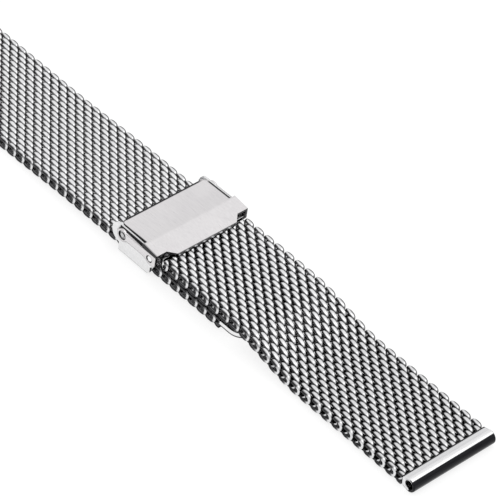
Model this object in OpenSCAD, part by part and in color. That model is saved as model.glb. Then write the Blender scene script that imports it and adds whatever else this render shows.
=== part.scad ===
/* [Mesh] */
// Overall width of the mesh strap
strap_w = 19.6; // [17:0.1:24]
// Thickness of the mesh
mesh_t = 2; // [1.7:0.05:2.3]
// How far every second row of the mesh is shifted across the strap
row_shift = 1; // [0.2:0.1:1.4]
// Taper at both ends of a row, where the wire turns back
row_taper = 0.4; // [0.2:0.05:0.6]
// Spacing of the rows along the long strap
long_pitch = 1.15; // [1.05:0.01:1.3]
// Spacing of the rows along the short strap
short_pitch = 1.3; // [1.2:0.01:1.4]
// Rows in each hinged length of the long strap
long_rows = 10; // [7:1:14]
// Rows in each hinged length of the short strap
short_rows = 10; // [9:1:13]
// Play between a row that acts as a hinge and the row that turns on it
row_play = 0.05; // [0.02:0.01:0.1]
// Space between the short strap and the tail that lies under it
strap_gap = 0.3; // [0.25:0.05:0.6]

/* [Ends] */
// Outer radius of the tube at each end of the bracelet
end_r = 1.4; // [1.25:0.05:1.6]
// How far each end of the tube stays inside the strap's edge
end_inset = 0.1; // [0:0.05:0.5]
// Radius of the bore that takes the spring bar
end_bore_r = 0.85; // [0.6:0.05:0.95]
// Distance from the mesh to the axis of the end tube
end_neck = 1.6; // [1.4:0.1:2.4]
// How far the last row runs past its own middle before it is cut off at the tube
end_cut = 0.2; // [0.1:0.05:0.5]

/* [Tail] */
// Rows from the tail hinge to the steel tip
tail_rows = 5; // [4:1:6]
// Length of the steel tip of the tail
tip_len = 5.5; // [4.5:0.1:6]
// Thickness of the steel tip
tip_t = 1; // [0.6:0.1:1.2]
// Corner radius of the steel tip
tip_corner = 3; // [1:0.1:4]
// Drop from the mesh's top face to the tip's
tip_drop = 0.3; // [0.1:0.05:0.6]
// How far each side of the steel tip stays inside the strap's edge
tip_inset = 0.1; // [0:0.05:0.3]

/* [Clasp frame] */
// Length of the frame along the bracelet at its foot
frame_len = 9.1; // [8.8:0.1:9.4]
// Thickness of the frame's side walls
wall_t = 0.42; // [0.3:0.02:0.6]
// Thickness of the frame's floor
floor_t = 0.5; // [0.4:0.05:0.6]
// Height of the side walls
wall_h = 5.2; // [5:0.05:5.25]
// Drop from the cover's rear edge to the rails that stand in its slots
rail_drop = 0.15; // [0.1:0.05:0.4]
// Radius of the rounded ear that stands out behind the hinge
ear_r = 2.1; // [1.8:0.05:2.4]
// Space between the strap and each side wall
side_gap = 0.08; // [0.05:0.01:0.2]
// Height of the strap's underside above the ground
strap_z = 0.8; // [0.78:0.01:0.9]
// Radius of the front bar that the short strap hooks on
bar_r = 0.6; // [0.45:0.05:0.65]
// Distance from the frame's front edge back to the front bar
bar_setback = 0.95; // [0.85:0.05:1.1]

/* [Cover] */
// Thickness of the cover's sheet
sheet_t = 0.45; // [0.35:0.05:0.5]
// Height of the cover's top face at its rear edge
cover_z = 6.1; // [6:0.05:6.2]
// Distance from the rear edge to the crease
crease_x = 7; // [6.6:0.1:7.2]
// Rise of the rear panel up to the crease
crease_rise = 0.2; // [0.1:0.05:0.5]
// Slope of the front panel
front_slope = 7; // [4:0.5:8]
// How far the front corners stand out over the frame's front edge
corner_reach = 0.6; // [0.4:0.1:0.8]
// How far the tongue stands out from the front corners
tongue_reach = 1.55; // [1:0.05:1.7]
// Straight front edge beside the tongue
tongue_inset = 2.5; // [1.5:0.1:4]
// Distance from the rear edge to the hinge
hinge_x = 1.54; // [1.4:0.02:1.7]
// Drop from the cover's rear edge to the hinge
hinge_drop = 1.59; // [1.5:0.01:1.7]
// Radius of the hole for the hinge in each wing
hinge_hole_r = 0.9; // [0.7:0.05:0.95]
// Play of the hinge rivet in its hole
hinge_play = 0.04; // [0.02:0.01:0.08]
// Play between a wing and the side wall that it covers
wing_gap = 0.05; // [0.03:0.01:0.15]

/* [Hook] */
// How far each side of the hook's strip stays inside the strap's edge
hook_inset = 3.3; // [2:0.1:5]
// How far each side of the hook's plate stays inside the strap's edge
plate_inset = 0.4; // [0.3:0.1:1.5]
// Thickness of the hook's sheet
hook_t = 0.44; // [0.3:0.02:0.46]
// Play of the hook on the front bar
hook_play = 0.06; // [0.03:0.01:0.1]
// Length of the lip that turns in under the front bar
hook_lip = 0.35; // [0.2:0.05:0.5]
// Distance from the front of the hook's plate to the mesh
plate_gap = 0.95; // [0.7:0.05:1.1]

/* [Locking lever] */
// Width of the lever
lever_w = 15; // [10:0.5:16]
// Length of the lever from its pin to its free edge
lever_len = 5; // [4.2:0.1:5.2]
// Distance from the free edge back to the ridge that grips the mesh
ridge_setback = 2; // [1.5:0.1:3]
// Width of the ridge
ridge_w = 0.5; // [0.3:0.05:0.8]
// Depth of the finger notch in the free edge
notch_depth = 0.35; // [0.2:0.05:0.6]
// Radius of the lever's pin
lever_pin_r = 0.22; // [0.18:0.01:0.25]
// Play of the lever on its pin and beside the frame
lever_play = 0.04; // [0.02:0.01:0.08]

/* [Hidden] */
$fn = 64;

steel = "silver";
polished = "gainsboro";
brushed = "lightgray";
dark_steel = "gray";

// Heights of the two straps, measured at the middle of the mesh
mesh_r = mesh_t / 2;
long_z = strap_z + mesh_r;
short_z = long_z + mesh_t + strap_gap;
end_z = end_r;

// Rows of the short strap, numbered from the clasp. The first has a flat for the hook's block
frame_x = 0.5;
frame_front_x = frame_x + frame_len;
short_x0 = frame_front_x + 2.7;
seat_cut = 0.1;
short_cut_x = short_x0 - mesh_r + seat_cut;
first_rows = 6;
last_short_row = first_rows + 4 * short_rows - 1;
function short_x(row) = short_x0 + short_pitch * row;
short_hinge_rows = [for (i = [0 : 3]) first_rows + i * short_rows];
short_end_x = short_x(last_short_row) + end_cut;
short_tube_x = short_end_x + end_neck;

// The short strap comes down from the tail to the ground over this length
descent_x = short_x0 + 16.2;
descent_len = 18;
function blend(u) = (1 - cos(180 * max(0, min(1, u)))) / 2;
function short_mid(x) = short_z + (end_z - short_z) * blend((x - descent_x) / descent_len);

// The long strap runs level from the tail to its first hinge behind the clasp
tail_hinge_x = short_x(first_rows);
slider_rows = 26;
tail_cut = 0.12;
long_hinge_x = tail_hinge_x - slider_rows * long_pitch;
tail_end_x = tail_hinge_x + tail_rows * long_pitch + tail_cut;
long_segments = 6;
last_long_row = long_segments * long_rows;

// Behind the clasp it comes down almost to the ground, and rises again to the end tube's axis
long_low_z = mesh_r + 0.05;
long_descent_len = 26;
long_rise_len = 12;
long_end_x = long_hinge_x - last_long_row * long_pitch - end_cut;
long_tube_x = long_end_x - end_neck;
function long_mid(x) = long_z
    + (long_low_z - long_z) * blend((long_hinge_x - x) / long_descent_len)
    + (end_z - long_low_z) * blend((long_end_x + long_rise_len - x) / long_rise_len);
long_hinges = [for (i = [0 : long_segments - 1]) long_hinge_x - i * long_rows * long_pitch];

// The clasp stands off centre, so that the origin is under the middle of the whole
long_reach = -long_tube_x + end_r;
short_reach = short_tube_x + end_r;
centre_x = (long_reach - short_reach) / 2;

// The end tubes and the steel tip are as wide as the mesh, less a small inset
end_w = strap_w - 2 * end_inset;
tip_half = strap_w / 2 - tip_inset;

// Clasp frame. Under the wings' front ends its sides are cut back to the foot
frame_in = strap_w / 2 + side_gap;
frame_out = frame_in + wall_t;
frame_edge_r = 0.45;
foot_back = 0.95;
foot_rise = 0.85;
foot_top = 2;
rail_gap = 0.25;
ear_x = 0.6;
ear_z = 4.1;
bar_x = frame_front_x - bar_setback;
bar_z = 4.28;

// Cover
wing_in = frame_out + wing_gap;
wing_out = wing_in + sheet_t;
panel_half = strap_w / 2;
corner_x = frame_front_x + corner_reach;
tongue_x = corner_x + tongue_reach;
panel_corner = 1;
wing_join_x = crease_x - 0.3;
crease_z = cover_z + crease_rise;
function front_z(x) = crease_z - (x - crease_x) * tan(front_slope);
hinge_z = cover_z - hinge_drop;
rail_z = cover_z - rail_drop;
rail_len = wing_join_x - rail_gap - frame_x;
rivet_r = 0.5;
rivet_end_r = 0.45;
rivet_end_len = 0.15;
rivet_recess = 0.05;
wing_lobe_r = 1.28;
wing_front_r = 1.4;
wing_toe_r = 0.7;
wing_arch = 0.6;
wing_top_z = cover_z - 0.6;
snap_hole_r = bar_r + 0.1;

// Locking lever, hinged under the strap
lever_x = 2.3;
knuckle_r = strap_z / 2 - 0.04;
lever_z = strap_z / 2;
lever_plate_t = floor_t - 0.02;
ridge_gap = 0.05;
window_gap = 0.12;
pin_inset = 0.3;
notch_w = lever_w / 3;
notch_h = 0.22;

// Hook
hook_in_r = bar_r + hook_play;
hook_out_r = hook_in_r + hook_t;
hook_half = strap_w / 2 - hook_inset;
plate_half = strap_w / 2 - plate_inset;
plate_x = short_cut_x - plate_gap;
plate_h = mesh_t - 0.1;
plate_t = 0.3;
tab_t = 0.6;
hook_reach = 1.25;
hook_bend_x = bar_x + hook_reach;

// Draws a side outline, given in X and Z, across the strap from y0 to y1
module across(y0, y1) {
    translate([0, y1, 0]) rotate([90, 0, 0]) linear_extrude(y1 - y0) children();
}

// Draws a cross-section, given in Y and Z, along the strap from x0 to x1
module lengthways(x0, x1) {
    translate([x0, 0, 0]) rotate([90, 0, 90]) linear_extrude(x1 - x0) children();
}

// A round bar across the strap
module rod(x, z, r, y0, y1) {
    translate([x, y0, z]) rotate([-90, 0, 0]) cylinder(h = y1 - y0, r = r);
}

module both_sides() {
    children();
    mirror([0, 1, 0]) children();
}

// One row of the mesh, a closed stand-in for one flattened coil of wire
module row(x, z, number) {
    side = number % 2 == 0 ? 1 : -1;
    len = strap_w - row_shift;
    y0 = side * row_shift / 2 - len / 2;
    translate([x, y0, z]) rotate([-90, 0, 0]) {
        cylinder(h = row_taper, r1 = mesh_r - row_taper, r2 = mesh_r);
        translate([0, 0, row_taper]) cylinder(h = len - 2 * row_taper, r = mesh_r);
        translate([0, 0, len - row_taper]) cylinder(h = row_taper, r1 = mesh_r, r2 = mesh_r - row_taper);
    }
}

// The socket in the first row of a length, which turns on the last row of the one before
module socket(x, z) {
    rod(x, z, mesh_r + row_play, -strap_w, strap_w);
}

module short_lengths(first, last) {
    for (n = [first : last]) row(short_x(n), short_mid(short_x(n)), n);
}

// A hinged length of the short strap that begins after one hinge row and holds the next
module short_length(index) {
    hinge_row = short_hinge_rows[index];
    difference() {
        short_lengths(hinge_row + 1, hinge_row + short_rows);
        socket(short_x(hinge_row), short_mid(short_x(hinge_row)));
    }
}

module short_mesh_1() {
    color(steel) intersection() {
        short_lengths(0, first_rows);
        translate([short_cut_x, -strap_w, 0]) cube([strap_w * 2, strap_w * 2, cover_z]);
    }
}

module short_mesh_2() {
    color(steel) short_length(0);
}

module short_mesh_3() {
    color(steel) short_length(1);
}

module short_mesh_4() {
    color(steel) short_length(2);
}

module short_mesh_5() {
    hinge_row = short_hinge_rows[3];
    color(steel) difference() {
        short_lengths(hinge_row + 1, last_short_row);
        socket(short_x(hinge_row), short_mid(short_x(hinge_row)));
        translate([short_end_x, -strap_w, -mesh_t]) cube([mesh_t, strap_w * 2, mesh_t * 4]);
    }
}

// An end tube about its bore: a round nose with flat cheeks that run back to the mesh
module end_tube() {
    touch = 100;
    cheek_r = 0.98 * end_r;
    color(polished) difference() {
        union() {
            rod(0, 0, end_r, -end_w / 2, end_w / 2);
            across(-end_w / 2, end_w / 2) polygon([
                [-end_neck, -mesh_r], [-end_neck, mesh_r],
                [cheek_r * cos(touch), cheek_r * sin(touch)],
                [cheek_r * cos(touch), -cheek_r * sin(touch)]
            ]);
        }
        rod(0, 0, end_bore_r, -end_w, end_w);
    }
}

module short_end_tube() {
    translate([short_tube_x, 0, end_z]) end_tube();
}

module long_lengths(first, last) {
    for (n = [first : last]) {
        x = long_hinge_x - n * long_pitch;
        row(x, long_mid(x), n);
    }
}

// A hinged length of the long strap that begins after one hinge row and holds the next
module long_length(index) {
    hinge_row = index * long_rows;
    color(steel) difference() {
        long_lengths(hinge_row + 1, hinge_row + long_rows);
        socket(long_hinges[index], long_mid(long_hinges[index]));
        translate([long_end_x - mesh_t, -strap_w, -mesh_t]) cube([mesh_t, strap_w * 2, mesh_t * 4]);
    }
}

module long_mesh_1() {
    long_length(0);
}

module long_mesh_2() {
    long_length(1);
}

module long_mesh_3() {
    long_length(2);
}

module long_mesh_4() {
    long_length(3);
}

module long_mesh_5() {
    long_length(4);
}

module long_mesh_6() {
    long_length(5);
}

module long_end_tube() {
    translate([long_tube_x, 0, end_z]) mirror([1, 0, 0]) end_tube();
}

// The level length that slides through the clasp, from the first hinge to the tail's hinge
module long_mesh_clasp() {
    color(steel) for (n = [0 : slider_rows]) row(long_hinge_x + n * long_pitch, long_z, n);
}

module tail_mesh() {
    color(steel) difference() {
        for (n = [1 : tail_rows]) row(tail_hinge_x + n * long_pitch, long_z, slider_rows + n);
        socket(tail_hinge_x, long_z);
        translate([tail_end_x, -strap_w, 0]) cube([mesh_t, strap_w * 2, mesh_t * 3]);
    }
}

module tail_tip() {
    half = tip_half;
    straight = tip_len - tip_corner;
    color(polished) translate([tail_end_x, 0, strap_z + mesh_t - tip_drop - tip_t]) linear_extrude(tip_t)
        intersection() {
            union() {
                translate([0, -half]) square([straight, 2 * half]);
                translate([0, -half + tip_corner]) square([tip_len, 2 * (half - tip_corner)]);
                translate([straight, half - tip_corner]) circle(r = tip_corner);
                translate([straight, tip_corner - half]) circle(r = tip_corner);
            }
            translate([0, -half]) square([tip_len, 2 * half]);
        }
}

// Side outline of the frame: a rail in the cover's slot, an ear behind the hinge and a cut-back foot
module frame_side() {
    foot_x = frame_front_x - foot_back;
    difference() {
        intersection() {
            union() {
                translate([frame_x, 0]) square([frame_len, wall_h]);
                translate([frame_x, 0]) square([rail_len, rail_z]);
                translate([ear_x, ear_z]) circle(r = ear_r);
            }
            translate([-ear_r * 2, 0]) square([frame_front_x + ear_r * 2, rail_z]);
        }
        polygon([
            [foot_x, foot_rise], [foot_x - foot_rise, 0], [foot_x - foot_rise, -1],
            [frame_front_x + 1, -1], [frame_front_x + 1, foot_top + 1.6],
            [frame_front_x, foot_top + 0.75], [foot_x, foot_top]
        ]);
    }
}

// Cross-section of the frame: a floor and two side walls with rounded lower edges
module frame_section() {
    r = frame_edge_r;
    difference() {
        union() {
            translate([-frame_out, r]) square([2 * frame_out, rail_z]);
            translate([r - frame_out, 0]) square([2 * (frame_out - r), rail_z]);
            translate([frame_out - r, r]) circle(r = r);
            translate([r - frame_out, r]) circle(r = r);
        }
        translate([-frame_in, floor_t]) square([2 * frame_in, rail_z * 2]);
    }
}

module clasp_frame() {
    window_x = lever_x - knuckle_r - window_gap;
    window_len = lever_len + knuckle_r + 2 * window_gap;
    window_w = lever_w + 2 * window_gap;
    color(polished) difference() {
        union() {
            intersection() {
                lengthways(-ear_r * 2, frame_front_x + 1) frame_section();
                across(-strap_w, strap_w) frame_side();
            }
            both_sides() rod(lever_x, lever_z, knuckle_r, window_w / 2, frame_in + wall_t / 2);
        }
        translate([window_x, -window_w / 2, -1]) cube([window_len, window_w, floor_t + 2]);
        rod(lever_x, lever_z, lever_pin_r, -frame_in + pin_inset, frame_in - pin_inset);
        rod(bar_x, bar_z, bar_r, -strap_w, strap_w);
        rod(hinge_x, hinge_z, rivet_r, -strap_w, strap_w);
    }
}

module front_bar() {
    color(steel) rod(bar_x, bar_z, bar_r, -frame_out, frame_out);
}

// Each rivet is held in the side wall and carries the wing on its shoulder
module hinge_rivets() {
    shoulder_r = hinge_hole_r - hinge_play;
    end_y = wing_out - rivet_recess - rivet_end_len;
    color(steel) both_sides() {
        rod(hinge_x, hinge_z, rivet_r, frame_in, frame_out);
        rod(hinge_x, hinge_z, shoulder_r, frame_out, end_y);
        rod(hinge_x, hinge_z, rivet_end_r, end_y, end_y + rivet_end_len);
    }
}

// Side outline of the cover's sheet
module cover_profile() {
    polygon([
        [0, cover_z - sheet_t], [crease_x, crease_z - sheet_t], [tongue_x, front_z(tongue_x) - sheet_t],
        [tongue_x, front_z(tongue_x)], [crease_x, crease_z], [0, cover_z]
    ]);
}

// The cover seen from above: rear panel, front panel and tongue
module cover_plan() {
    r = panel_corner;
    tongue_y = wing_out - tongue_inset;
    chamfer = tongue_x - corner_x;
    translate([0, r - panel_half]) square([crease_x, 2 * (panel_half - r)]);
    translate([r, -panel_half]) square([crease_x - r, 2 * panel_half]);
    translate([r, panel_half - r]) circle(r = r);
    translate([r, r - panel_half]) circle(r = r);
    translate([wing_join_x, -wing_out]) square([corner_x - wing_join_x, 2 * wing_out]);
    polygon([
        [corner_x - 0.1, -tongue_y], [corner_x, -tongue_y], [tongue_x, chamfer - tongue_y],
        [tongue_x, tongue_y - chamfer], [corner_x, tongue_y], [corner_x - 0.1, tongue_y]
    ]);
}

// Side outline of a wing: a lobe at the hinge, a low arch and a lobe at the snap hole
module wing_side() {
    front_lobe = [bar_x + 0.25, bar_z + 0.27];
    toe = [corner_x - wing_toe_r, bar_z - 0.41];
    arch_z = hinge_z - wing_arch;
    translate([hinge_x, hinge_z]) circle(r = wing_lobe_r);
    translate([hinge_x, arch_z]) square([bar_x - hinge_x, wing_top_z - arch_z]);
    translate([hinge_x - wing_lobe_r, hinge_z]) square([wing_lobe_r, wing_top_z - hinge_z - 0.3]);
    intersection() {
        translate(front_lobe) circle(r = wing_front_r);
        square([corner_x, crease_z]);
    }
    translate(toe) circle(r = wing_toe_r);
    polygon([
        [wing_join_x, arch_z], [toe[0], toe[1] - wing_toe_r], [toe[0], toe[1]], [corner_x, toe[1]],
        [corner_x, front_z(corner_x) - 0.1], [crease_x, crease_z - 0.1],
        [wing_join_x, cover_z + wing_join_x * crease_rise / crease_x - 0.1]
    ]);
}

module fold_over_cover() {
    color(brushed) difference() {
        union() {
            intersection() {
                across(-wing_out, wing_out) cover_profile();
                linear_extrude(crease_z + 1) cover_plan();
            }
            both_sides() across(wing_in, wing_out) wing_side();
        }
        rod(hinge_x, hinge_z, hinge_hole_r, -strap_w, strap_w);
        both_sides() rod(bar_x, bar_z, snap_hole_r, wing_in - 0.1, wing_out + 1);
    }
}

module locking_lever() {
    half = lever_w / 2;
    tip_x = lever_x + lever_len;
    ridge_x = tip_x - ridge_setback;
    color(polished) difference() {
        union() {
            rod(lever_x, lever_z, knuckle_r, -half, half);
            across(-half, half) translate([lever_x, 0]) square([lever_len, lever_plate_t]);
            across(-half, half) translate([ridge_x, 0]) square([ridge_w, strap_z - ridge_gap]);
        }
        rod(lever_x, lever_z, lever_pin_r + lever_play, -strap_w, strap_w);
        translate([tip_x - notch_depth, -notch_w / 2, -floor_t])
            cube([floor_t + notch_depth, notch_w, floor_t + notch_h]);
    }
}

module lever_pin() {
    color(dark_steel) rod(lever_x, lever_z, lever_pin_r, -frame_in + pin_inset, frame_in - pin_inset);
}

// Side outline of the hook's strip: it goes over the front bar from behind and ends below it
module hook_side() {
    top_z = bar_z + hook_out_r;
    difference() {
        translate([bar_x, bar_z]) circle(r = hook_out_r);
        translate([bar_x, bar_z]) circle(r = hook_in_r);
        translate([bar_x, bar_z - hook_out_r * 2]) square([hook_out_r * 2, hook_out_r * 4]);
    }
    translate([bar_x, bar_z - hook_out_r]) square([hook_lip, hook_t]);
    translate([bar_x, top_z - hook_t]) square([hook_bend_x - bar_x, hook_t]);
    polygon([
        [hook_bend_x, top_z], [hook_bend_x, top_z - hook_t],
        [plate_x + 0.05, short_z - hook_t], [plate_x + 0.05, short_z + hook_t / 2]
    ]);
}

// Side outline of the plate before the mesh, with the tab that joins it to the first row
module plate_side() {
    translate([plate_x, short_z - plate_h / 2]) square([plate_t, plate_h]);
    translate([plate_x, short_z - tab_t / 2]) square([plate_gap, tab_t]);
}

module short_strap_hook() {
    color(polished) union() {
        across(-hook_half, hook_half) hook_side();
        across(-plate_half, plate_half) plate_side();
    }
}

// Moves a piece from the clasp's own frame to the frame of the whole bracelet
module place() {
    translate([centre_x, 0, 0]) children();
}

place() clasp_frame();
place() front_bar();
place() hinge_rivets();
place() fold_over_cover();
place() locking_lever();
place() lever_pin();
place() short_strap_hook();
place() short_mesh_1();
place() short_mesh_2();
place() short_mesh_3();
place() short_mesh_4();
place() short_mesh_5();
place() short_end_tube();
place() long_mesh_clasp();
place() long_mesh_1();
place() long_mesh_2();
place() long_mesh_3();
place() long_mesh_4();
place() long_mesh_5();
place() long_mesh_6();
place() long_end_tube();
place() tail_mesh();
place() tail_tip();

echo(centre_x = centre_x);
echo(short_hinges = [for (n = short_hinge_rows) [short_x(n) + centre_x, short_mid(short_x(n))]]);
echo(tail_hinge = [tail_hinge_x + centre_x, long_z]);
echo(long_hinges = [for (x = long_hinges) [x + centre_x, long_mid(x)]]);
echo(bar = [bar_x + centre_x, bar_z], cover_hinge = [hinge_x + centre_x, hinge_z]);
echo(lever = [lever_x + centre_x, lever_z]);
echo(short_bore = [short_tube_x + centre_x, end_z]);
echo(long_bore = [long_tube_x + centre_x, end_z]);
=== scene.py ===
import math

import bpy
import numpy as np
from mathutils import Matrix, Vector


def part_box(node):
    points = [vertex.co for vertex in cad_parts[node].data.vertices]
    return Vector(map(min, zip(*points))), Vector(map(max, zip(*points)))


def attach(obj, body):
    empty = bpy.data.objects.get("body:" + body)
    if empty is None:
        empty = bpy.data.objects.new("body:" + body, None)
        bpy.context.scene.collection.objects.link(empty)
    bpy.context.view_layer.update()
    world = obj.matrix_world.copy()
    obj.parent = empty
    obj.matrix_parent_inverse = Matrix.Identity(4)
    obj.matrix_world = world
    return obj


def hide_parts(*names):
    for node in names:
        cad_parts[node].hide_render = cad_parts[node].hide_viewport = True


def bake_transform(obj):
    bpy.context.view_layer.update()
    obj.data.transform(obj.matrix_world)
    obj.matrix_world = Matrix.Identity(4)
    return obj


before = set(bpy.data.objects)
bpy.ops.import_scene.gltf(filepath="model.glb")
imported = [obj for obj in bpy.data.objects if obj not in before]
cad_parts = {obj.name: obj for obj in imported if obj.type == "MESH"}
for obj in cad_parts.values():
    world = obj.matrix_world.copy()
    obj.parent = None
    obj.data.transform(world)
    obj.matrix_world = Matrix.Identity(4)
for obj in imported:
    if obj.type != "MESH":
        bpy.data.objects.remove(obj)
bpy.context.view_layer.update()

MM = 0.001
COVER_REAR, COVER_FRONT = (corner.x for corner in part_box("fold_over_cover"))
# The clasp's own frame begins at the cover's rear edge
CLASP_X = COVER_REAR / MM


# ---------------------------------------------------------------- node trees
def grey(value, blue=0.002):
    """A steel grey with a trace more blue."""
    return value, value, value + blue


class Tree:
    """The nodes of a material or of the world, with a short call for each kind in use."""

    def __init__(self, owner):
        owner.use_nodes = True
        self.nodes, self.links = owner.node_tree.nodes, owner.node_tree.links

    def feed(self, node, inputs):
        """Links or sets the given inputs of a node, and gives the node back."""
        for key, value in inputs.items():
            if isinstance(value, bpy.types.NodeSocket):
                self.links.new(value, node.inputs[key])
            else:
                node.inputs[key].default_value = value
        return node

    def add(self, kind, inputs=None):
        return self.feed(self.nodes.new(kind), inputs or {})

    def split(self, vector):
        parts = self.add("ShaderNodeSeparateXYZ", {"Vector": vector}).outputs
        return parts["X"], parts["Y"], parts["Z"]

    def place(self):
        """X, Y and Z of the point on the piece, in metres."""
        return self.split(self.add("ShaderNodeTexCoord").outputs["Object"])

    def facing(self, normal="Normal"):
        """X, Y and Z of the surface's normal in the piece's own frame, the same at every pose."""
        geometry = self.add("ShaderNodeNewGeometry")
        turn = self.add("ShaderNodeVectorTransform", {"Vector": geometry.outputs[normal]})
        turn.vector_type, turn.convert_from, turn.convert_to = "NORMAL", "WORLD", "OBJECT"
        return self.split(turn.outputs["Vector"])

    def noise(self, stretch, scale, detail, rough=0.6):
        """Noise in the piece's own coordinates."""
        coord = self.add("ShaderNodeTexCoord")
        mapping = self.add("ShaderNodeMapping", {
            "Vector": coord.outputs["Object"], "Scale": stretch})
        return self.add("ShaderNodeTexNoise", {
            "Vector": mapping.outputs["Vector"], "Scale": scale, "Detail": detail,
            "Roughness": rough}).outputs["Fac"]

    def maths(self, operation, *values):
        node = self.nodes.new("ShaderNodeMath")
        node.operation = operation
        return self.feed(node, dict(enumerate(values))).outputs[0]

    def product(self, first, *others):
        for value in others:
            first = self.maths("MULTIPLY", first, value)
        return first

    def ranged(self, value, low, high, start=0.3, end=0.7):
        """Maps value from start to end onto low to high."""
        return self.add("ShaderNodeMapRange", {
            "Value": value, "From Min": start, "From Max": end,
            "To Min": low, "To Max": high}).outputs["Result"]

    def rising(self, value, start, end):
        """0 up to start, and 1 from end on."""
        return self.ranged(value, 0.0, 1.0, start, end)

    def falling(self, value, start, end):
        """1 up to start, and 0 from end on."""
        return self.ranged(value, 1.0, 0.0, start, end)

    def hollow(self, reach, low, high, inside=False):
        """1 where at most low of what is within reach is open, and 0 where high or more is."""
        node = self.add("ShaderNodeAmbientOcclusion", {"Distance": reach})
        node.samples = OCCLUSION_SAMPLES
        node.inside = inside
        return self.falling(node.outputs["AO"], low, high)

    def ramp(self, value, *stops):
        """A colour ramp between two stops, each a position and a colour."""
        node = self.add("ShaderNodeValToRGB", {"Fac": value})
        for element, (position, color) in zip(node.color_ramp.elements, stops):
            element.position = position
            element.color = (*color, 1.0)
        return node.outputs["Color"]

    def mix(self, blend, amount, a, b):
        node = self.nodes.new("ShaderNodeMix")
        node.data_type, node.blend_type = "RGBA", blend
        return self.feed(node, {"Factor": amount, "A": a, "B": b}).outputs["Result"]

    def mixed(self, amount, a, b):
        """Colour a where amount is 0 and colour b where it is 1. b may be a plain colour."""
        return self.mix("MIX", amount, a, (*b, 1.0) if isinstance(b, tuple) else b)

    def multiplied(self, a, b):
        return self.mix("MULTIPLY", 1.0, a, b)


class Steel(Tree):
    """The nodes of a steel, which has a colour and a grain that sets roughness and bump."""

    def __init__(self, name):
        self.material = bpy.data.materials.new(name)
        super().__init__(self.material)

    def made(self, color, grain, rough, strength, depth):
        """Ends the nodes in the material's shader, and gives the material."""
        bump = self.add("ShaderNodeBump", {
            "Height": grain, "Strength": strength, "Distance": depth})
        self.feed(self.nodes["Principled BSDF"], {
            "Metallic": 1.0, "Base Color": color, "Roughness": self.ranged(grain, *rough),
            "Normal": bump.outputs["Normal"]})
        return self.material


# ---------------------------------------------------------------- steels
OCCLUSION_SAMPLES = 8
WHITE = (1.0, 1.0, 1.0)
# Colour of the painted shade lines on the rear panel's rim and bend and on the rails' outer faces
PAINTED_SHADE_LINE = grey(0.03)
# From the cover's rear edge to its crease, and to the end of the rear panel's slits
CREASE_X, SLITS_X = 7.0 * MM, 6.65 * MM
# The rear panel's rim is drawn round these lines, inside its sides and its rear edge
RIM_Y, RIM_X = 8.8 * MM, 1.0 * MM
# The rim begins and is full this far outside them, later by RIM_LATER on the near side
RIM_START, RIM_FULL = 0.58 * MM, 0.72 * MM
RIM_LATER = 0.30 * MM
# Limits to either side of the middle: the rear panel ends before PANEL_Y, the rails' outer
# faces lie beyond RAIL_Y, the rails end before GAP_Y, and the wings' outer faces lie beyond
# WING_Y
PANEL_Y, RAIL_Y, GAP_Y, WING_Y = 9.85 * MM, 10.27 * MM, 10.33 * MM, 10.65 * MM
# Radius of the end tubes
TUBE_R = 1.4 * MM


def wire_steel():
    """Drawn wire rolled flat on its crowns, with painted highlights on them and painted shade
    between.
    """
    t = Steel("wire_steel")
    outer = t.add("ShaderNodeAttribute")
    outer.attribute_name = "outer"
    # The outer attribute is painted light and shade: bright leaves on the crowns, dark wire
    # between
    base = t.ramp(outer.outputs["Fac"], (0.0, grey(0.035)), (1.0, grey(0.88, 0.005)))
    cloud = t.noise((1.0, 1.0, 1.0), 900.0, 3.0)
    shade = t.ramp(cloud, (0.25, grey(0.88, 0.01)), (0.7, WHITE))
    drawn = t.noise((1.0, 0.35, 1.0), 5200.0, 3.0)
    return t.made(t.multiplied(base, shade), drawn, (0.20, 0.36), 0.08, 0.02 * MM)


def cut_edges(t, color, dark):
    """Painted shade on the cut edges of sheet steel, which face along the bracelet."""
    along = t.maths("ABSOLUTE", t.facing()[0])
    return t.mixed(t.rising(along, 0.45, 0.70), color, grey(dark, 0.04 * dark))


def recesses(t, color, reach, high, within=None):
    """Painted shade in narrow gaps, where a neighbouring surface stands within reach."""
    amount = t.hollow(reach, 0.45, high)
    if within is not None:
        side = t.maths("ABSOLUTE", t.place()[1])
        amount = t.product(amount, t.maths("LESS_THAN", side, within))
    return t.mixed(amount, color, grey(0.025))


def panel_edges(t, color):
    """Painted shade: a dark rim round the rear panel, finer on its near side, and the dark near
    bend before it.
    """
    x, y, z = t.place()
    side = t.maths("ABSOLUTE", y)
    over = t.maths("MAXIMUM", t.maths("SUBTRACT", side, RIM_Y), 0.0)
    back = t.maths("MAXIMUM", t.maths("SUBTRACT", COVER_REAR + RIM_X, x), 0.0)
    out = t.maths("SQRT", t.maths("ADD", t.product(over, over), t.product(back, back)))
    later = t.ranged(y, RIM_LATER, 0.0, -RIM_Y - 0.8 * MM, -RIM_Y)
    rim = t.rising(t.maths("SUBTRACT", out, later), RIM_START, RIM_FULL)
    # The far rear corner catches the light
    lit = t.product(t.ranged(y, 0.0, 0.75, 8.0 * MM, 9.0 * MM),
                    t.falling(x, COVER_REAR + 0.9 * MM, COVER_REAR + 1.3 * MM))
    rim = t.product(rim, t.maths("SUBTRACT", 1.0, lit))
    panel = t.falling(side, PANEL_Y, PANEL_Y + 0.05 * MM)
    ahead = t.rising(x, COVER_REAR + SLITS_X, COVER_REAR + SLITS_X + 0.1 * MM)
    edge = t.product(rim, panel, t.maths("SUBTRACT", 1.0, ahead))
    near = t.falling(y, -10.68 * MM, -10.30 * MM)
    top = t.rising(z, 5.45 * MM, 5.56 * MM)
    bend = t.product(near, ahead, top)
    return t.mixed(t.maths("MAXIMUM", edge, bend), color, PAINTED_SHADE_LINE)


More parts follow.
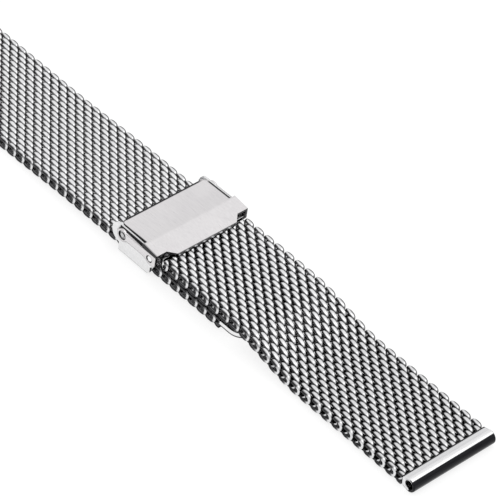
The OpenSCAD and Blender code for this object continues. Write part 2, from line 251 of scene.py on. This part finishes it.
def wing_outlines(t, color):
    """A fine grey line of painted shade along the edges of the wings' outer faces."""
    line = t.hollow(0.18 * MM, 0.55, 0.90, inside=True)
    outer = t.maths("GREATER_THAN", t.maths("ABSOLUTE", t.place()[1]), WING_Y)
    flat = t.maths("GREATER_THAN", t.maths("ABSOLUTE", t.facing()[1]), 0.5)
    return t.mixed(t.product(outer, flat, line), color, grey(0.07))


def creased(t, color):
    """Painted light at a crisp crease: the cover's top, a little darker behind it and brighter
    ahead.
    """
    crease = COVER_REAR + CREASE_X
    x = t.place()[0]
    top = t.maths("GREATER_THAN", t.facing()[2], 0.5)
    painted_darker = t.ranged(x, 0.0, 0.036, crease - 4.0 * MM, crease - 0.1 * MM)
    painted_brighter = t.ranged(x, 0.0, 0.056, crease - 0.1 * MM, crease + 0.2 * MM)
    change = t.product(top, t.maths("SUBTRACT", painted_brighter, painted_darker))
    return t.multiplied(color, t.maths("ADD", 1.0, change))


def tongue_edge(t, color):
    """The tongue's cut front edge, painted lighter than the other cut edges, below a painted dark
    line.
    """
    x = t.place()[0]
    line = t.rising(x, COVER_FRONT - 0.20 * MM, COVER_FRONT - 0.12 * MM)
    color = t.mixed(line, color, grey(0.12))
    flat = t.maths("GREATER_THAN", t.facing()[0], 0.92)
    cut = t.product(flat, t.maths("GREATER_THAN", x, COVER_FRONT - 0.03 * MM))
    return t.mixed(cut, color, grey(0.52, 0.005))


def brushed_steel():
    """Satin cover sheet with a fine straight grain and faint cloudy variation."""
    t = Steel("brushed_cover_steel")
    grain = t.noise((0.035, 1.0, 1.0), 9000.0, 5.0, 0.7)
    cloud = t.noise((1.0, 1.0, 1.0), 160.0, 2.0)
    fine = t.ramp(grain, (0.2, (0.632, 0.617, 0.626)), (0.8, (0.836, 0.816, 0.820)))
    wide = t.ramp(cloud, (0.3, grey(0.95, 0.005)), (0.7, WHITE))
    color = creased(t, t.multiplied(fine, wide))
    color = recesses(t, cut_edges(t, color, 0.05), 0.5 * MM, 0.80, within=GAP_Y)
    color = tongue_edge(t, wing_outlines(t, panel_edges(t, color)))
    return t.made(color, grain, (0.26, 0.40), 0.10, 0.01 * MM)


def rail_sides(t, color):
    """Painted shade on the rails' outer faces, where they stand out over the cover's wings."""
    x, y, z = t.place()
    along = t.maths("GREATER_THAN", x, COVER_REAR + 0.45 * MM)
    outer = t.maths("GREATER_THAN", t.maths("ABSOLUTE", y), RAIL_Y)
    high = t.rising(z, 5.30 * MM, 5.45 * MM)
    return t.mixed(t.product(along, outer, high), color, PAINTED_SHADE_LINE)


def rounded_edges(t, color, foot):
    """Painted shade: dark lines along rounded edges, and along the foot of the upright faces."""
    up = t.facing("True Normal")[2]
    edge = t.product(t.maths("GREATER_THAN", up, 0.15), t.maths("LESS_THAN", up, 0.93))
    upright = t.maths("LESS_THAN", t.maths("ABSOLUTE", up), 0.6)
    low = t.falling(t.place()[2], foot, foot + 0.06 * MM)
    amount = t.maths("MAXIMUM", edge, t.product(upright, low))
    return t.mixed(amount, color, grey(0.04))


def polished_steel(name, low=0.74, high=0.82, rough=(0.08, 0.17), dark=None,
                   reach=0.6 * MM, foot=None):
    """Polished steel with faint rub marks, and painted shade in the gaps beside its neighbours."""
    t = Steel(name)
    rub = t.noise((1.0, 0.3, 1.0), 1600.0, 5.0)
    color = t.ramp(rub, (0.3, grey(low, 0.005)), (0.7, grey(high, 0.004)))
    # Painted shade on the faces along the bracelet and on the rails' outer faces
    if dark is not None:
        color = rail_sides(t, cut_edges(t, color, dark))
    if foot is not None:
        color = rounded_edges(t, color, foot)
    return t.made(recesses(t, color, reach, 0.92), rub, rough, 0.05, 0.01 * MM)


def end_tube_steel(name, node, side):
    """An end tube: a satin top plate and a painted dark reflection on the nose, whose border
    follows the axis.
    """
    t = Steel(name)
    low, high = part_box(node)
    nose = high.x if side > 0 else low.x
    axis = nose - side * TUBE_R
    x, _, z = t.place()

    def ahead(start, end):
        """Rises from start to end, in mm from the tube's axis towards its nose."""
        return t.rising(x, axis + side * start * MM, axis + side * end * MM)

    # Painted shade under the tube's front and by its joint, besides the painted dark nose
    under = t.product(t.falling(z, 0.80 * MM, 0.88 * MM), ahead(-0.10, 0.0))
    joint = t.falling(x, axis - side * 1.34 * MM, axis - side * 1.22 * MM)
    dark = t.maths("MAXIMUM", t.maths("MAXIMUM", ahead(0.62, 0.68), under), joint)
    end = t.maths("GREATER_THAN", t.maths("ABSOLUTE", t.facing()[1]), 0.6)
    dark = t.mixed(end, dark, ahead(0.10, 0.20))
    grain = t.noise((1.0, 0.04, 1.0), 7000.0, 4.0)
    satin = t.ramp(grain, (0.2, grey(0.74, 0.01)), (0.8, grey(0.86, 0.005)))
    painted_dark_tone = t.ramp(grain, (0.2, grey(0.012)), (0.8, grey(0.028, 0.003)))
    return t.made(t.mixed(dark, satin, painted_dark_tone), grain, (0.22, 0.34), 0.06, 0.01 * MM)


WIRE = wire_steel()
COVER = brushed_steel()
FRAME = polished_steel("polished_frame_steel", dark=0.03)
TIP = polished_steel("polished_tip_steel", 0.80, 0.90, (0.12, 0.22), reach=0.2 * MM,
                     foot=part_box("tail_tip")[0].z + 0.24 * MM)
PIN = polished_steel("pin_steel", 0.46, 0.58, (0.18, 0.30))
BAR = polished_steel("bar_steel", 0.84, 0.92, (0.14, 0.24), reach=0.10 * MM)


# ---------------------------------------------------------------- strap paths
# Lengths from here to the dressing are in mm, and x in the clasp's frame

# Heights of the straps' middles: at the end tubes, the long one in and behind the clasp,
# and the short one beside the clasp
END_Z, LONG_Z, LOW_Z, SHORT_Z = 1.4, 1.8, 1.05, 4.1
# The short strap's row 0 and the pitch of each strap's rows
SHORT_X0, SHORT_PITCH, LONG_PITCH = 12.3, 1.3, 1.15
# The short strap's row over the tail's hinge, the rows from there back to the long strap's
# first hinge, and those on to the tail's last
TAIL_HINGE_ROW, CLASP_ROWS, TAIL_ROWS = 6, 26, 5
# Last row of each strap, and what is left from there to its cut end
SHORT_LAST, LONG_LAST = 45, 60
AT_TUBE, AT_TIP = 0.2, 0.12
TAIL_HINGE = SHORT_X0 + TAIL_HINGE_ROW * SHORT_PITCH
LONG_HINGE = TAIL_HINGE - CLASP_ROWS * LONG_PITCH
SHORT_START = 11.3
SHORT_END = SHORT_X0 + SHORT_LAST * SHORT_PITCH + AT_TUBE
TAIL_END = TAIL_HINGE + TAIL_ROWS * LONG_PITCH + AT_TIP
LONG_END = LONG_HINGE - LONG_LAST * LONG_PITCH - AT_TUBE
# The short strap's way down, and the long strap's way down and its last rise
DESCENT_X, DESCENT_LEN = 28.5, 18
LONG_DESCENT_LEN, LONG_RISE_LEN = 26, 12
# An end that isn't cut
OPEN = 99


def ease(u):
    u = np.clip(u, 0.0, 1.0)
    return (1 - np.cos(np.pi * u)) / 2


def short_mid(x):
    return SHORT_Z + (END_Z - SHORT_Z) * ease((x - DESCENT_X) / DESCENT_LEN)


def long_mid(x):
    return (LONG_Z + (LOW_Z - LONG_Z) * ease((LONG_HINGE - x) / LONG_DESCENT_LEN)
            + (END_Z - LOW_Z) * ease((LONG_END + LONG_RISE_LEN - x) / LONG_RISE_LEN))


# ---------------------------------------------------------------- the woven wire
STRAP_W, HALF_T = 19.6, 1.0
CROWNS = 10
FIRST_CROWN = -9.36
WIRE_PITCH = -2 * FIRST_CROWN / (CROWNS - 0.5)
# Half the wire's thickness and width, what a crown is wider by, and how far it stands out of
# the mesh before it is rolled flat
WIRE_N, WIRE_B = 0.34, 0.34
CROWN_B = 0.15
FLAT = 0.09
# How far a coil's middle line reaches along the strap
REACH = 1.05
# Powers that fill out the coil's round along the strap and in height
FULL_X, FULL_Z = 0.80, 0.75
# How much of the way across is made between the crowns
SLANT = 0.47
# How far the last bends reach beyond the first and the last crown
NEAR_BEND, FAR_BEND = 0.14, 1.15
# First and last angle of a coil, whose first crown is at 90 degrees, and rings for each turn
FIRST_ANGLE = -160
LAST_ANGLE = 90 + 360 * (CROWNS - 1) + 295
RINGS = 20
# Share of its thickness that the wire keeps at its two ends
END_TAPER = 0.55
# Rolling begins this share of FLAT below the mesh's face, and leaves this share of what
# stands above that
UNDER, PRESSED = 0.15, 0.13
# Angles round the wire's section, closer together on the side that shows
SECTION = np.radians([0, 24, 40, 56, 74, 115, 245, 286, 304, 320, 336])
SIDES = len(SECTION)
# The painted highlight on each crown is a leaf this long from its middle, and this much aslant
LEAF_X, LEAF_SLANT = 1.24, 0.11
# The painted leaf's width, and the painted tones of the wire beside it, of the leaf itself and of
# the edge loops' turns: lighter, and painted darker as shade at the lower end of the short strap
LIGHTER_PAINTED_TONES = 0.37, 0.80, 1.00, (0.70, 0.95)
DARKER_PAINTED_TONES = 0.365, 0.10, 0.89, (0.20, 0.70)
DARKER_PAINTED_FROM, DARKER_PAINTED_TO = 26.0, 44.0
# The edge loops' painted shade and highlights begin and are full this far from the middle
EDGE_FROM, EDGE_TO = STRAP_W / 2 - 0.90, STRAP_W / 2 - 0.45
# Share of a coil's strip in the UV map that is left free on each side
MARGIN = 0.04
# Steps each way, along the coil in radians and along the strap, that give the direction
TURN_STEP, PATH_STEP = 0.01, 0.05


def smooth(v, low, high):
    t = np.clip((v - low) / (high - low), 0, 1)
    return t * t * (3 - 2 * t)


def wire_path(angle):
    """Points of the coil's middle line: round in X and Z, and onwards in Y."""
    c, s = np.cos(angle), np.sin(angle)
    x = REACH * np.sign(c) * np.abs(c) ** FULL_X
    z = (HALF_T + FLAT - WIRE_N) * np.sign(s) * np.abs(s) ** FULL_Z
    y = WIRE_PITCH * (angle - np.pi / 2 + SLANT * np.sin(2 * angle)) / (2 * np.pi)
    span = WIRE_PITCH * (CROWNS - 1)
    y = np.where(y < 0, NEAR_BEND * np.tanh(y / NEAR_BEND), y)
    y = np.where(y > span, span + FAR_BEND * np.tanh((y - span) / FAR_BEND), y)
    return np.stack([x, FIRST_CROWN + y, z], 1)


def wire_tones(points, angle, sideways):
    """Painted light and shade on the coil's points, once lighter and once darker.

    A painted highlight, a leaf with a dark outline, lies on each crown, with wire painted grey
    beside and between them. The edge loops are painted dark, with painted highlights where they
    turn back.
    """
    crown = np.repeat(np.round((angle - np.pi / 2) / np.pi), SIDES)
    dy = points[:, 1] - FIRST_CROWN - WIRE_PITCH * crown / 2
    across = dy + LEAF_SLANT * points[:, 0] * np.where(crown % 2 == 0, 1, -1)
    outwards = np.tile(smooth(np.cos(SECTION), 0.20, 0.55), len(angle))
    beside = np.tile(smooth(np.abs(np.sin(SECTION)), 0.60, 0.95), len(angle))
    side = np.sign(points[:, 1])
    edge = smooth(np.abs(points[:, 1]), EDGE_FROM, EDGE_TO)
    back = -side * np.repeat(np.cos(angle), SIDES)
    outer = side * (sideways[:, None, 1] * np.sin(SECTION)[None, :]).ravel()
    rim = edge * smooth(outer, 0.0, 0.6)
    tones = []
    for leaf_y, wire, leaf_highlight, turn in (LIGHTER_PAINTED_TONES, DARKER_PAINTED_TONES):
        leaf = np.sqrt((points[:, 0] / LEAF_X) ** 2 + (across / leaf_y) ** 2)
        plain = (1 - outwards) * (0.08 + wire * beside)
        bright = leaf_highlight * outwards * (1 - smooth(leaf, 0.80, 1.02))
        tone = plain * (1 - 0.95 * edge) * (1 - bright) + bright
        tones.append(tone * (1 - rim) + rim * 0.92 * smooth(back, *turn))
    return tones


def coil():
    """One flattened coil of wire about the Y axis: its points, their tones, its quads and rings.

    It begins at the near edge with a closed loop under its first crown, and ends half a pitch
    short of the far edge, where only its lower pass reaches out. A neighbour is the same coil
    turned about Z.
    """
    start, end = math.radians(FIRST_ANGLE), math.radians(LAST_ANGLE)
    count = int(round((end - start) / (2 * np.pi) * RINGS)) + 1
    angle = np.linspace(start, end, count)
    middle = wire_path(angle)
    along = wire_path(angle + TURN_STEP) - wire_path(angle - TURN_STEP)
    along /= np.linalg.norm(along, axis=1, keepdims=True)
    out = np.stack([-along[:, 2], np.zeros(count), along[:, 0]], 1)
    out /= np.linalg.norm(out, axis=1, keepdims=True)
    out[np.sum(out * middle * [1, 0, 1], axis=1) < 0] *= -1
    sideways = np.cross(along, out)
    taper = np.ones(count)
    taper[0] = taper[-1] = END_TAPER
    wide = WIRE_B + CROWN_B * np.sin(angle) ** 2
    up = taper[:, None] * WIRE_N * np.cos(SECTION)[None, :]
    over = (taper * wide)[:, None] * np.sin(SECTION)[None, :]
    points = (middle[:, None, :] + out[:, None, :] * up[:, :, None]
              + sideways[:, None, :] * over[:, :, None]).reshape(-1, 3)
    points[:, 1] = np.clip(points[:, 1], -STRAP_W / 2, STRAP_W / 2)
    # Rolls the crowns flat
    top = HALF_T - FLAT * UNDER
    high = np.abs(points[:, 2]) > top
    points[high, 2] = np.sign(points[high, 2]) * (top + (np.abs(points[high, 2]) - top) * PRESSED)
    ring = np.arange(count - 1)[:, None] * SIDES
    i = np.arange(SIDES)[None, :]
    j = (i + 1) % SIDES
    quads = np.stack([ring + i, ring + SIDES + i, ring + SIDES + j, ring + j], 2).reshape(-1, 4)
    return points, wire_tones(points, angle, sideways), quads, count


ODD = coil()
EVEN = (ODD[0] * [-1, -1, 1], *ODD[1:])


def woven_mesh(name, points, tones, quads, uvs):
    mesh = bpy.data.meshes.new(name)
    mesh.vertices.add(len(points))
    mesh.vertices.foreach_set("co", points.astype(np.float32).ravel())
    mesh.loops.add(quads.size)
    mesh.loops.foreach_set("vertex_index", quads.ravel().astype(np.int32))
    mesh.polygons.add(len(quads))
    mesh.polygons.foreach_set("loop_start", np.arange(0, quads.size, 4, dtype=np.int32))
    mesh.polygons.foreach_set("loop_total", np.full(len(quads), 4, dtype=np.int32))
    mesh.update(calc_edges=True)
    mesh.polygons.foreach_set("use_smooth", np.ones(len(quads), dtype=bool))
    mesh.uv_layers.new(name="strip").data.foreach_set("uv", uvs.astype(np.float32).ravel())
    # Each point's painted light and shade, which the wire's material reads
    attribute = mesh.attributes.new("outer", "FLOAT", "POINT")
    attribute.data.foreach_set("value", tones.astype(np.float32))
    mesh.materials.append(WIRE)
    mesh.validate()
    return mesh


def weave(name, rows, mid, low=-OPEN, high=OPEN):
    """Joins the coils of the given (x, number) rows along a strap's path into one piece.

    The coils are cut off square below x = low and beyond x = high.
    """
    points, tones, quads, uvs, base = [], [], [], [], 0
    for k, (x0, number) in enumerate(rows):
        pts, (painted_lighter, painted_darker), q, count = EVEN if number % 2 == 0 else ODD
        x = x0 + pts[:, 0]
        q = q[~((x < low) | (x > high))[q].all(axis=1)]
        x = np.clip(x, low, high)
        slope = (mid(x + PATH_STEP) - mid(x - PATH_STEP)) / (2 * PATH_STEP)
        norm = np.sqrt(1 + slope ** 2)
        px = x - pts[:, 2] * slope / norm
        pz = mid(x) + pts[:, 2] / norm
        points.append(np.stack([px + CLASP_X, pts[:, 1], pz], 1) * MM)
        # Rows down the short strap blend into the tones painted darker, as shade
        share = smooth(x0, DARKER_PAINTED_FROM, DARKER_PAINTED_TO)
        tones.append(painted_lighter * (1 - share) + painted_darker * share)
        quads.append(q + base)
        ring, side = q // SIDES, (q % SIDES).astype(float)
        side[:, 2:] = np.where(side[:, 2:] == 0, SIDES, side[:, 2:])
        v = MARGIN + (1 - 2 * MARGIN) * side / SIDES
        uvs.append(np.stack([ring / (count - 1.0), (k + v) / len(rows)], 2))
        base += len(pts)
    points, tones, quads = np.concatenate(points), np.concatenate(tones), np.concatenate(quads)
    # Leaves out the points that no quad uses
    used, corners = np.unique(quads, return_inverse=True)
    mesh = woven_mesh(name, points[used], tones[used], corners.reshape(-1, 4), np.concatenate(uvs))
    obj = bpy.data.objects.new(name, mesh)
    bpy.context.scene.collection.objects.link(obj)
    return obj


def short_rows(first, last):
    return [(SHORT_X0 + SHORT_PITCH * n, n) for n in range(first, last + 1)]


def long_rows(first, last):
    """Rows of the long strap, counted from its first hinge: positive towards the tail."""
    return [(LONG_HINGE + LONG_PITCH * n, n) for n in range(first, last + 1)]


def bend(obj, a, b, joint, reach, nodes):
    """Moves a woven piece's place into its points, and hides the given nodes.
    Bodies a and b, the joint and reach are not used.
    """
    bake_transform(obj)
    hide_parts(*nodes)


# Each woven piece spans one hinge, and the next piece begins between two hinges
bend(weave("woven_short_1", short_rows(-1, 11), short_mid, low=SHORT_START),
     "hook", "short_2", "short_flex_1", 4.2, ["short_mesh_1", "short_mesh_2"])
bend(weave("woven_short_2", short_rows(12, 21), short_mid),
     "short_2", "short_3", "short_flex_2", 4.5, ["short_mesh_2", "short_mesh_3"])
bend(weave("woven_short_3", short_rows(22, 31), short_mid),
     "short_3", "short_4", "short_flex_3", 4.5, ["short_mesh_3", "short_mesh_4"])
bend(weave("woven_short_4", short_rows(32, SHORT_LAST), short_mid, high=SHORT_END),
     "short_4", "short_5", "short_flex_4", 4.5, ["short_mesh_4", "short_mesh_5"])

bend(weave("woven_tail", long_rows(20, CLASP_ROWS + TAIL_ROWS), long_mid, high=TAIL_END),
     "slider", "tail", "tail_flex", 3.2, ["long_mesh_clasp", "tail_mesh"])
bend(weave("woven_long_1", long_rows(-5, 19), long_mid),
     "slider", "long_1", "long_flex_1", -4.2, ["long_mesh_clasp", "long_mesh_1"])
for i in range(1, 6):
    first = -LONG_LAST if i == 5 else -10 * i - 5
    bend(weave("woven_long_%d" % (i + 1), long_rows(first, -10 * i + 4), long_mid, low=LONG_END),
         "long_%d" % i, "long_%d" % (i + 1), "long_flex_%d" % (i + 1), -4.2,
         ["long_mesh_%d" % i, "long_mesh_%d" % (i + 1)])


# ---------------------------------------------------------------- the clasp, tubes and tips
def softened(obj, width, segments):
    """Rounds an object's edges and evens out its shading, with modifiers."""
    bevel = obj.modifiers.new("bevel", "BEVEL")
    bevel.width, bevel.segments = width, segments
    bevel.limit_method = "ANGLE"
    obj.modifiers.new("normals", "WEIGHTED_NORMAL").weight = 80
    return bevel


def dressed(node, steel, width, segments=2):
    """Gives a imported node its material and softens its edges, by width mm."""
    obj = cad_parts[node]
    for slot in obj.material_slots:
        slot.link = "OBJECT"
        slot.material = steel
    obj.modifiers.new("weld", "WELD").merge_threshold = 0.002 * MM
    bevel = softened(obj, width * MM, segments)
    bevel.angle_limit = math.radians(35)
    bevel.miter_outer = "MITER_ARC"


dressed("fold_over_cover", COVER, 0.07)
dressed("clasp_frame", FRAME, 0.06)
dressed("front_bar", BAR, 0.10)
dressed("hinge_rivets", PIN, 0.06)
dressed("locking_lever", FRAME, 0.05)
dressed("lever_pin", PIN, 0.04)
dressed("short_strap_hook", FRAME, 0.05)
dressed("tail_tip", TIP, 0.12)
dressed("short_end_tube", end_tube_steel("short_tube_steel", "short_end_tube", 1), 0.28, 4)
dressed("long_end_tube", end_tube_steel("long_tube_steel", "long_end_tube", -1), 0.28, 4)


def bar_tip(name, side):
    """The rounded end of the front bar, which fills the snap hole of a wing."""
    low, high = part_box("front_bar")
    mid = (low + high) / 2
    play, out = 0.02 * MM, 0.42 * MM
    inner, outer = high.y - play, high.y + out
    bpy.ops.mesh.primitive_cylinder_add(
        vertices=48, radius=(high.x - low.x) / 2 - play, depth=outer - inner,
        location=(mid.x, side * (inner + outer) / 2, mid.z), rotation=(math.pi / 2, 0, 0))
    obj = bpy.context.object
    obj.name = name
    bpy.ops.object.transform_apply(location=True, rotation=True, scale=True)
    bpy.ops.object.shade_smooth()
    obj.data.materials.append(BAR)
    softened(obj, 0.12 * MM, 4)
    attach(obj, "clasp")


bar_tip("bar_tip_near", -1)
bar_tip("bar_tip_far", 1)


# ---------------------------------------------------------------- floor, light, camera
FLOOR_SIZE, FLOOR_Z = 6.0, -0.02 * MM
FLOOR_TONE, FLOOR_GLOW = 0.28, 0.78


def floor():
    """A floor that is white to the camera and in reflections, and keeps the shadow."""
    bpy.ops.mesh.primitive_plane_add(size=FLOOR_SIZE, location=(0, 0, FLOOR_Z))
    plane = bpy.context.object
    plane.name = "floor"
    material = bpy.data.materials.new("floor_white")
    t = Tree(material)
    t.nodes.remove(t.nodes["Principled BSDF"])
    rays = t.add("ShaderNodeLightPath").outputs
    seen = rays["Is Camera Ray"]
    for kind in ("Is Glossy Ray", "Is Transmission Ray"):
        either = t.nodes.new("ShaderNodeMath")
        either.operation, either.use_clamp = "ADD", True
        seen = t.feed(either, {0: seen, 1: rays[kind]}).outputs[0]
    diffuse = t.add("ShaderNodeBsdfDiffuse", {"Color": (*grey(FLOOR_TONE, 0.0), 1.0)})
    glow = t.add("ShaderNodeEmission", {"Strength": t.product(seen, FLOOR_GLOW)})
    both = t.add("ShaderNodeAddShader", {0: diffuse.outputs[0], 1: glow.outputs[0]})
    t.feed(t.nodes["Material Output"], {"Surface": both.outputs[0]})
    plane.data.materials.append(material)


floor()

scene = bpy.context.scene
scene.world = bpy.data.worlds.new("studio")
sky = Tree(scene.world)
height = sky.split(sky.add("ShaderNodeTexCoord").outputs["Generated"])[2]
soft = sky.ramp(height, (0.0, grey(0.55, 0.01)), (0.55, WHITE))
seen = sky.add("ShaderNodeLightPath").outputs["Is Camera Ray"]
sky.feed(sky.nodes["Background"], {"Color": sky.mixed(seen, soft, WHITE), "Strength": 1.0})


def softbox(name, place, size, power):
    """A square lamp that faces the origin."""
    light = bpy.data.lights.new(name, "AREA")
    light.shape = "RECTANGLE"
    light.size = light.size_y = size
    light.energy = power
    obj = bpy.data.objects.new(name, light)
    scene.collection.objects.link(obj)
    obj.location = place
    obj.rotation_mode = "QUATERNION"
    obj.rotation_quaternion = (-Vector(place)).to_track_quat("-Z", "Y")


softbox("key", (0.22, 0.32, 0.92), 0.55, 1.1)

# The photograph's camera: its focal length in pixels, its axes and its place
FOCAL_PX, PICTURE_PX, SENSOR = 3877.266, 500.0, 36.0
cam = bpy.data.cameras.new("camera")
cam.sensor_width = SENSOR
cam.lens = FOCAL_PX * SENSOR / PICTURE_PX
cam.clip_start, cam.clip_end = 0.01, 20.0
cam_obj = bpy.data.objects.new("camera", cam)
scene.collection.objects.link(cam_obj)
right = Vector((0.6721970, 0.7316042, 0.1136065))
up = Vector((-0.5558321, 0.3973089, 0.7302029))
back = Vector((0.4890827, -0.5539863, 0.6737190))
turn = Matrix((right, up, back)).transposed().to_4x4()
cam_obj.matrix_world = Matrix.Translation((0.34988, -0.36719, 0.45706)) @ turn
scene.camera = cam_obj
scene.view_settings.view_transform = "Standard"
